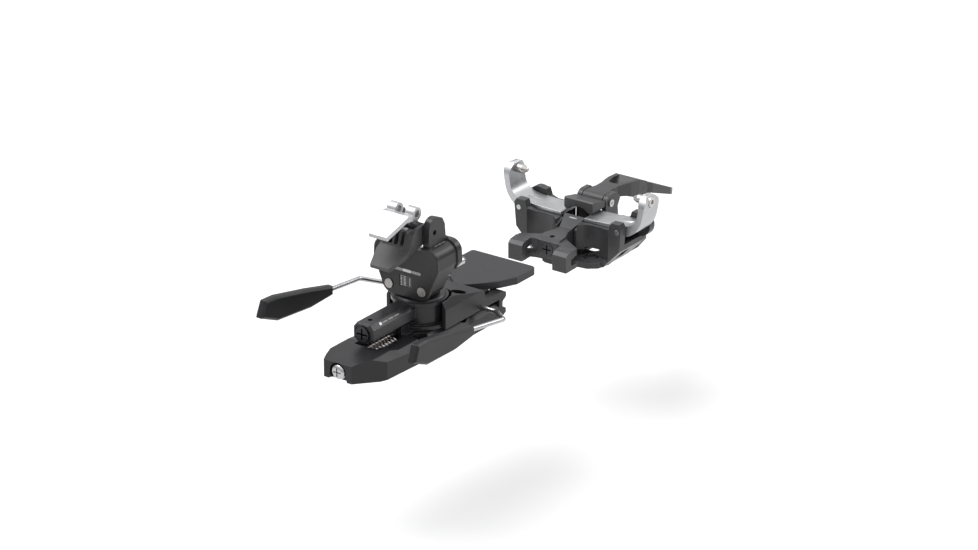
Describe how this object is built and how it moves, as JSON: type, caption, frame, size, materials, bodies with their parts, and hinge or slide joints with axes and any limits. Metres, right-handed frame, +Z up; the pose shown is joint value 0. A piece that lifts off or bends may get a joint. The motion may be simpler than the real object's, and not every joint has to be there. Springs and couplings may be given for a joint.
{
  "type": "ski touring pin binding",
  "caption": "Ski touring binding: toe piece with pin wings and lever, heel piece with turning pin turret, riser flaps, length track and ski brake.",
  "frame": {"origin": "on the ski's top face and centre line, under the line of the toe pins", "axes": "+X to the right, +Y to the ski's tip, +Z up from the ski"},
  "size_m": [0.11, 0.3286, 0.087],
  "materials": {
    "black_alloy": "black anodised, fine blasted",
    "silver_alloy": "clear anodised, fine blasted",
    "black_plastic": "fine moulded grain",
    "bright_steel": "ground and polished",
    "spring_steel": "drawn wire",
    "brass_nut": "turned",
    "window": "polished",
    "marker": "satin"
  },
  "bodies": {
    "frame": {"toe_base": "black_alloy", "wing_hinge_pins": "bright_steel", "toe_spring": "spring_steel", "toe_spring_rod": "bright_steel", "heel_base": "black_alloy", "thrust_spring": "spring_steel", "brake_housing": "black_plastic", "pedal_pin": "bright_steel"},
    "wing_right": {"wing_right": "silver_alloy", "toe_pin_right": "bright_steel"},
    "wing_left": {"wing_left": "silver_alloy", "toe_pin_left": "bright_steel"},
    "lever": {"toe_lever": "black_alloy", "toe_lever_tip": "black_plastic", "toe_lever_pin": "bright_steel", "lever_tip_pins": "bright_steel"},
    "trigger": {"toe_trigger": "black_plastic"},
    "boss_screw": {"toe_boss_screw": "bright_steel"},
    "length_screw": {"length_screw": "bright_steel"},
    "carriage": {"tower": "black_alloy", "length_nut": "brass_nut", "turret_post": "bright_steel", "turret_circlip": "bright_steel", "lateral_piston": "bright_steel", "lateral_spring": "spring_steel"},
    "lateral_plug": {"lateral_plug": "bright_steel"},
    "turret": {"turret_housing": "black_plastic", "rear_cover": "black_plastic", "cover_rivets": "bright_steel", "scale_window": "window", "release_marker": "marker", "ear_pin": "bright_steel", "arm_pivots": "bright_steel", "vertical_spring": "spring_steel"},
    "vertical_screw": {"vertical_screw": "bright_steel"},
    "pin_arm_right": {"pin_arm_right": "bright_steel", "heel_pin_right": "bright_steel"},
    "pin_arm_left": {"pin_arm_left": "bright_steel", "heel_pin_left": "bright_steel"},
    "riser_high": {"riser_high": "silver_alloy"},
    "riser_low": {"riser_low": "black_plastic"},
    "brake": {"brake_arm_left": "bright_steel", "brake_arm_right": "bright_steel", "brake_tip_left": "black_plastic", "brake_tip_right": "black_plastic", "brake_hub": "black_plastic", "brake_springs": "spring_steel"},
    "pedal": {"heel_pedal": "black_plastic"}
  },
  "joints": [
    {"name": "lever_hinge", "type": "hinge", "parent": "frame", "child": "lever", "pos_m": [0, 0.0164, 0.0277], "axis": [1, 0, 0], "range_deg": [0, 34]},
    {"name": "wing_right_hinge", "type": "hinge", "parent": "frame", "child": "wing_right", "pos_m": [0.0349, 0, 0.0243], "axis": [0, -1, 0], "range_deg": [0, 24]},
    {"name": "wing_left_hinge", "type": "hinge", "parent": "frame", "child": "wing_left", "pos_m": [-0.0349, 0, 0.0243], "axis": [0, 1, 0], "range_deg": [0, 24]},
    {"name": "trigger_slide", "type": "slide", "parent": "frame", "child": "trigger", "axis": [0, 0, -1], "range_m": [0, 0.0106]},
    {"name": "boss_screw_turn", "type": "hinge", "parent": "frame", "child": "boss_screw", "pos_m": [0, -0.0346, 0.0124], "axis": [0, 1, 0], "continuous": true},
    {"name": "length_screw_turn", "type": "hinge", "parent": "frame", "child": "length_screw", "pos_m": [0, -0.236, 0.0079], "axis": [0, 1, 0], "range_deg": [0, 3960]},
    {"name": "carriage_slide", "type": "slide", "parent": "frame", "child": "carriage", "axis": [0, 1, 0], "range_m": [-0.022, 0]},
    {"name": "lateral_plug_turn", "type": "hinge", "parent": "carriage", "child": "lateral_plug", "pos_m": [0, -0.213, 0.0224], "axis": [0, 1, 0], "continuous": true},
    {"name": "turret_turn", "type": "hinge", "parent": "carriage", "child": "turret", "pos_m": [0, -0.16, 0.03], "axis": [0, 0, 1], "range_deg": [-90, 90]},
    {"name": "vertical_screw_turn", "type": "hinge", "parent": "turret", "child": "vertical_screw", "pos_m": [0, -0.16, 0.0512], "axis": [0, 0, 1], "continuous": true},
    {"name": "pin_arm_right_hinge", "type": "hinge", "parent": "turret", "child": "pin_arm_right", "pos_m": [0.0135, -0.163, 0.0442], "axis": [0, 0, -1], "range_deg": [0, 4], "stiffness_Nm_per_rad": 4},
    {"name": "pin_arm_left_hinge", "type": "hinge", "parent": "turret", "child": "pin_arm_left", "pos_m": [-0.0135, -0.163, 0.0442], "axis": [0, 0, 1], "range_deg": [0, 4], "stiffness_Nm_per_rad": 4},
    {"name": "riser_high_hinge", "type": "hinge", "parent": "turret", "child": "riser_high", "pos_m": [0, -0.166, 0.0708], "axis": [1, 0, 0], "range_deg": [-185, 0]},
    {"name": "riser_low_hinge", "type": "hinge", "parent": "turret", "child": "riser_low", "pos_m": [0, -0.166, 0.0708], "axis": [1, 0, 0], "range_deg": [-185, 0]},
    {"name": "brake_hinge", "type": "hinge", "parent": "frame", "child": "brake", "pos_m": [0, -0.13, 0.0145], "axis": [1, 0, 0], "range_deg": [0, 70]},
    {"name": "pedal_hinge", "type": "hinge", "parent": "frame", "child": "pedal", "pos_m": [0, -0.1195, 0.0136], "axis": [1, 0, 0], "range_deg": [0, 18]}
  ],
  "couplings": [
    {"joint": "wing_right_hinge", "follows": "lever_hinge", "ratio": 0.70588},
    {"joint": "wing_left_hinge", "follows": "lever_hinge", "ratio": 0.70588},
    {"joint": "trigger_slide", "follows": "lever_hinge", "m_per_rad": 0.01786},
    {"joint": "length_screw_turn", "follows": "carriage_slide", "rad_per_m": -3141.6},
    {"joint": "pin_arm_left_hinge", "follows": "pin_arm_right_hinge", "ratio": 1},
    {"joint": "riser_low_hinge", "follows": "riser_high_hinge", "ratio": 1},
    {"joint": "pedal_hinge", "follows": "brake_hinge", "ratio": 0.25714}
  ]
}
